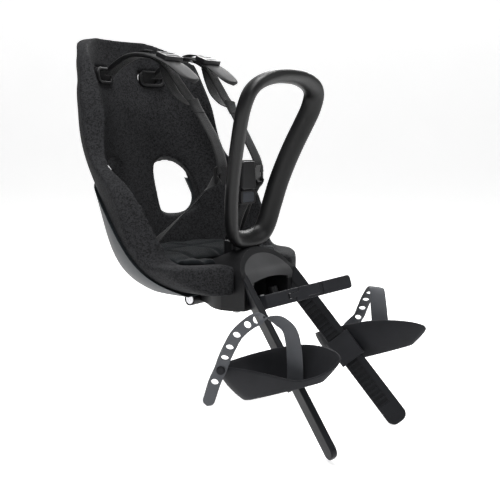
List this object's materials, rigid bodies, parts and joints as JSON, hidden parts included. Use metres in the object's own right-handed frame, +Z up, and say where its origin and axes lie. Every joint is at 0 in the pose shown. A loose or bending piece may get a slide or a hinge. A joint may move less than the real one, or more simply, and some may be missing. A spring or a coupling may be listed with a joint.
{
  "type": "kids handlebar bike seat",
  "caption": "Front child seat for a bicycle: foam bucket in a hard shell, harness, padded grab loop, foot rests on inclined rails and a hinged stem clamp.",
  "frame": {"origin": "middle of the stem clamp's bore", "axes": "+X forward, +Y to the child's left, +Z up"},
  "size_m": [0.5812, 0.3676, 0.6255],
  "materials": {
    "foam": "matt expanded foam",
    "shell": "satin moulded",
    "base_plastic": "satin moulded",
    "cover_grey": "satin moulded",
    "grip": "matt grained",
    "pad_fabric": "quilted",
    "pad_shoulder": "matt",
    "webbing": "woven",
    "fittings": "satin",
    "button": "satin",
    "rail_plastic": "satin moulded",
    "cup_plastic": "satin moulded",
    "strap_rubber": "matt",
    "clamp_plastic": "satin moulded",
    "liner_rubber": "matt",
    "steel": "plain",
    "black_bolt": "satin black",
    "lock_face": "plated"
  },
  "bodies": {
    "seat": {"foam_liner": "foam", "outer_shell": "shell", "base_frame": "base_plastic", "console_cover": "cover_grey", "grab_loop": "grip", "loop_base": "base_plastic", "seat_pad": "pad_fabric", "base_screws": "steel", "lock_housing": "base_plastic", "clamp_jaw": "clamp_plastic", "clamp_bolt": "black_bolt", "gate_pin": "steel", "jaw_liner": "liner_rubber", "buckle_body": "fittings", "crotch_strap": "webbing", "slot_bezel_left": "fittings", "slot_bezel_right": "fittings", "foot_rail_left": "rail_plastic", "foot_rail_right": "rail_plastic", "rail_cap_left": "rail_plastic", "rail_cap_right": "rail_plastic", "shoulder_strap_left": "webbing", "shoulder_strap_right": "webbing", "shoulder_pad_left": "pad_shoulder", "shoulder_pad_right": "pad_shoulder", "strap_adjuster_left": "fittings", "strap_adjuster_right": "fittings", "buckle_tongue_left": "fittings", "buckle_tongue_right": "fittings", "lap_strap_left": "webbing", "lap_strap_right": "webbing"},
    "gate": {"clamp_gate": "clamp_plastic", "gate_liner": "liner_rubber", "lever_pin": "steel"},
    "lever": {"latch_lever": "clamp_plastic"},
    "lock_face": {"lock_plug": "lock_face"},
    "buckle_release": {"buckle_button": "button"},
    "foot_rest_right": {"foot_cup_right": "cup_plastic", "rail_clip_right": "cup_plastic", "foot_strap_right": "strap_rubber", "strap_peg_right": "cup_plastic"},
    "clip_release_right": {"clip_button_right": "cup_plastic"},
    "foot_rest_left": {"foot_cup_left": "cup_plastic", "rail_clip_left": "cup_plastic", "foot_strap_left": "strap_rubber", "strap_peg_left": "cup_plastic"},
    "clip_release_left": {"clip_button_left": "cup_plastic"}
  },
  "joints": [
    {"name": "gate_hinge", "type": "hinge", "parent": "seat", "child": "gate", "pos_m": [-0.01317, -0.02326, -0.00428], "axis": [0.309, 0, -0.9511], "range_deg": [0, 60]},
    {"name": "latch_hinge", "type": "hinge", "parent": "gate", "child": "lever", "pos_m": [0.02439, -0.00086, 0.00792], "axis": [0.309, 0, -0.9511], "range_deg": [0, 50]},
    {"name": "lock_turn", "type": "hinge", "parent": "seat", "child": "lock_face", "pos_m": [-0.148, -0.05, -0.011], "axis": [0, -1, 0], "range_deg": [0, 90]},
    {"name": "buckle_press", "type": "slide", "parent": "seat", "child": "buckle_release", "axis": [-1, 0, 0], "range_m": [0, 0.003], "stiffness_N_per_m": 800},
    {"name": "foot_height_right", "type": "slide", "parent": "seat", "child": "foot_rest_right", "axis": [0.6453, -0.1346, -0.752], "range_m": [-0.03, 0.075]},
    {"name": "clip_press_right", "type": "slide", "parent": "foot_rest_right", "child": "clip_release_right", "axis": [-0.6453, 0.1346, 0.752], "range_m": [0, 0.004], "stiffness_N_per_m": 400},
    {"name": "foot_height_left", "type": "slide", "parent": "seat", "child": "foot_rest_left", "axis": [0.6453, 0.1346, -0.752], "range_m": [-0.03, 0.075]},
    {"name": "clip_press_left", "type": "slide", "parent": "foot_rest_left", "child": "clip_release_left", "axis": [-0.6453, -0.1346, 0.752], "range_m": [0, 0.004], "stiffness_N_per_m": 400}
  ]
}
